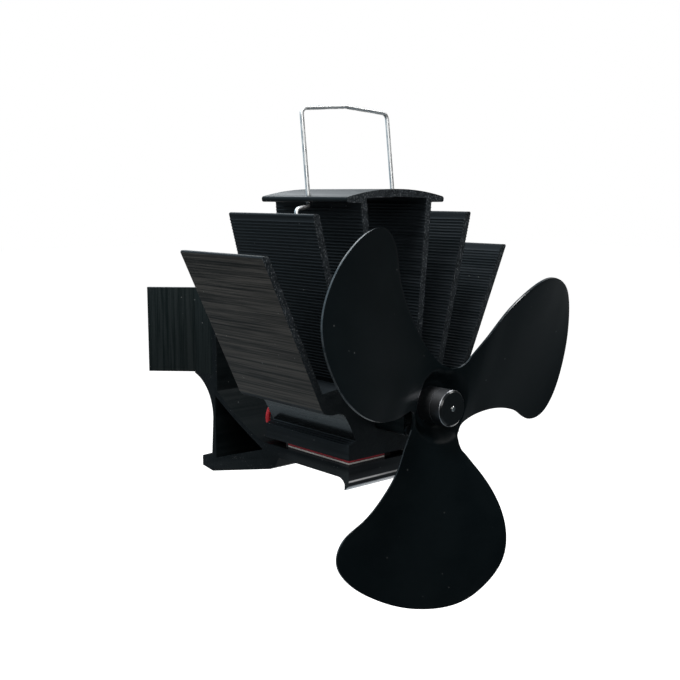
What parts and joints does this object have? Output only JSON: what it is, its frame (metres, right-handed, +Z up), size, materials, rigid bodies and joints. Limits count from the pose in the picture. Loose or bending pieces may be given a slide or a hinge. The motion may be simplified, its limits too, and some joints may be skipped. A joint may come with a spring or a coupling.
{
  "type": "stove fan",
  "caption": "Heat-powered fan that hangs on a flue pipe: finned heat sink, wire handle, thermoelectric module, motor and bladed propeller on a magnetic pipe saddle.",
  "frame": {"origin": "middle of the tail face at the bottom rear of the hot base, where the front line of the flue pipe touches", "axes": "+X to the right seen from the front, +Y to the rear into the pipe and along the fan's axis, +Z up along the pipe"},
  "size_m": [0.1643, 0.1868, 0.2203],
  "materials": {
    "black_aluminium": "black anodised, fins ridged and sawn at the ends",
    "blade_black": "satin black",
    "hub_black": "semi-gloss black",
    "bright_steel": "bright drawn wire and turned steel",
    "magnet_plate": "nickel plated",
    "magnet_dark": "dark ferrite",
    "ceramic": "off-white ceramic",
    "pellet_grey": "dull grey semiconductor",
    "sleeve_dark": "dark heat-proof plastic",
    "seal_dark": "dark heat-proof strip",
    "seal_white": "white fibre strip",
    "seal_red": "red silicone",
    "red_insulation": "red silicone insulation",
    "black_insulation": "black silicone insulation",
    "copper_alloy": "plain"
  },
  "bodies": {
    "frame": {"heat_sink": "black_aluminium", "hot_base": "black_aluminium", "pipe_saddle": "black_aluminium", "pipe_magnets": "magnet_plate", "saddle_screws": "bright_steel", "teg_hot_plate": "ceramic", "teg_pellets": "pellet_grey", "teg_cold_plate": "ceramic", "seal_dark": "seal_dark", "seal_white": "seal_white", "seal_red": "seal_red", "clamp_screws": "bright_steel", "clamp_washers": "bright_steel", "clamp_sleeves": "sleeve_dark", "motor_housing": "black_aluminium", "housing_screws": "bright_steel", "motor_can": "bright_steel", "motor_end_cap": "sleeve_dark", "motor_bushes": "copper_alloy", "motor_magnets": "magnet_dark", "motor_brushes": "copper_alloy", "motor_terminals": "copper_alloy", "lead_red": "red_insulation", "lead_black": "black_insulation"},
    "propeller": {"propeller_blades": "blade_black", "hub_bushing": "hub_black", "hub_cap": "hub_black", "motor_shaft": "bright_steel", "motor_armature": "bright_steel", "motor_commutator": "copper_alloy"},
    "handle": {"handle_bail": "bright_steel"}
  },
  "joints": [
    {"name": "propeller_spin", "type": "hinge", "parent": "frame", "child": "propeller", "pos_m": [0, -0.1451, 0.04795], "axis": [0, 1, 0], "continuous": true},
    {"name": "handle_rock", "type": "hinge", "parent": "frame", "child": "handle", "pos_m": [0, -0.086, 0.1372], "axis": [1, 0, 0], "range_deg": [0, 13.4]}
  ]
}
